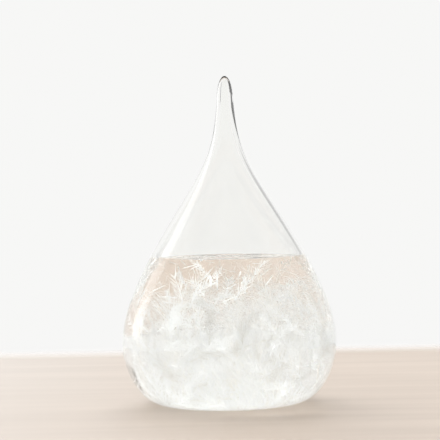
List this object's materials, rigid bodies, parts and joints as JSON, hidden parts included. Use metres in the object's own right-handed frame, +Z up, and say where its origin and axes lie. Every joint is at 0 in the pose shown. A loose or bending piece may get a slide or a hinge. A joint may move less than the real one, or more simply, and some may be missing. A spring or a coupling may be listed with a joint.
{
  "type": "storm glass",
  "caption": "Sealed teardrop of clear blown glass, nearly half full of a clear solution in which white feather crystals grow, thicken and drift as the weather turns.",
  "frame": {"origin": "centre of the flat ring that the drop stands on", "axes": "+Z up along the axis of the drop; the glass is round about it, and the picture looks along +Y"},
  "size_m": [0.115, 0.115, 0.176],
  "materials": {
    "clear_glass": "polished",
    "storm_solution": "polished",
    "camphor_crystal": "satin"
  },
  "bodies": {
    "vessel": {"glass_drop": "clear_glass", "tip_seal": "clear_glass", "storm_solution": "storm_solution", "crystal_bed": "camphor_crystal", "tall_frond_1": "camphor_crystal", "tall_frond_2": "camphor_crystal", "tall_frond_3": "camphor_crystal", "tall_frond_4": "camphor_crystal", "tall_frond_5": "camphor_crystal", "tall_frond_6": "camphor_crystal", "tall_frond_7": "camphor_crystal", "tall_frond_8": "camphor_crystal", "tall_frond_9": "camphor_crystal", "tall_frond_10": "camphor_crystal", "wall_frond_1": "camphor_crystal", "wall_frond_2": "camphor_crystal", "wall_frond_3": "camphor_crystal", "wall_frond_4": "camphor_crystal", "wall_frond_5": "camphor_crystal", "wall_frond_6": "camphor_crystal", "needle_1": "camphor_crystal", "needle_2": "camphor_crystal", "needle_3": "camphor_crystal", "needle_4": "camphor_crystal", "needle_5": "camphor_crystal", "needle_6": "camphor_crystal", "needle_7": "camphor_crystal", "needle_8": "camphor_crystal"},
    "drifter_1": {"loose_feather_1": "camphor_crystal"},
    "drifter_2": {"loose_feather_2": "camphor_crystal"},
    "drifter_3": {"loose_feather_3": "camphor_crystal"}
  },
  "joints": [
    {"name": "drift_1", "type": "slide", "parent": "vessel", "child": "drifter_1", "axis": [0, 0, 1], "range_m": [-0.008, 0], "deforming": ["storm_solution"]},
    {"name": "drift_2", "type": "slide", "parent": "vessel", "child": "drifter_2", "axis": [0, 0, 1], "range_m": [-0.008, 0], "deforming": ["storm_solution"]},
    {"name": "drift_3", "type": "slide", "parent": "vessel", "child": "drifter_3", "axis": [0, 0, 1], "range_m": [-0.008, 0], "deforming": ["storm_solution"]}
  ]
}
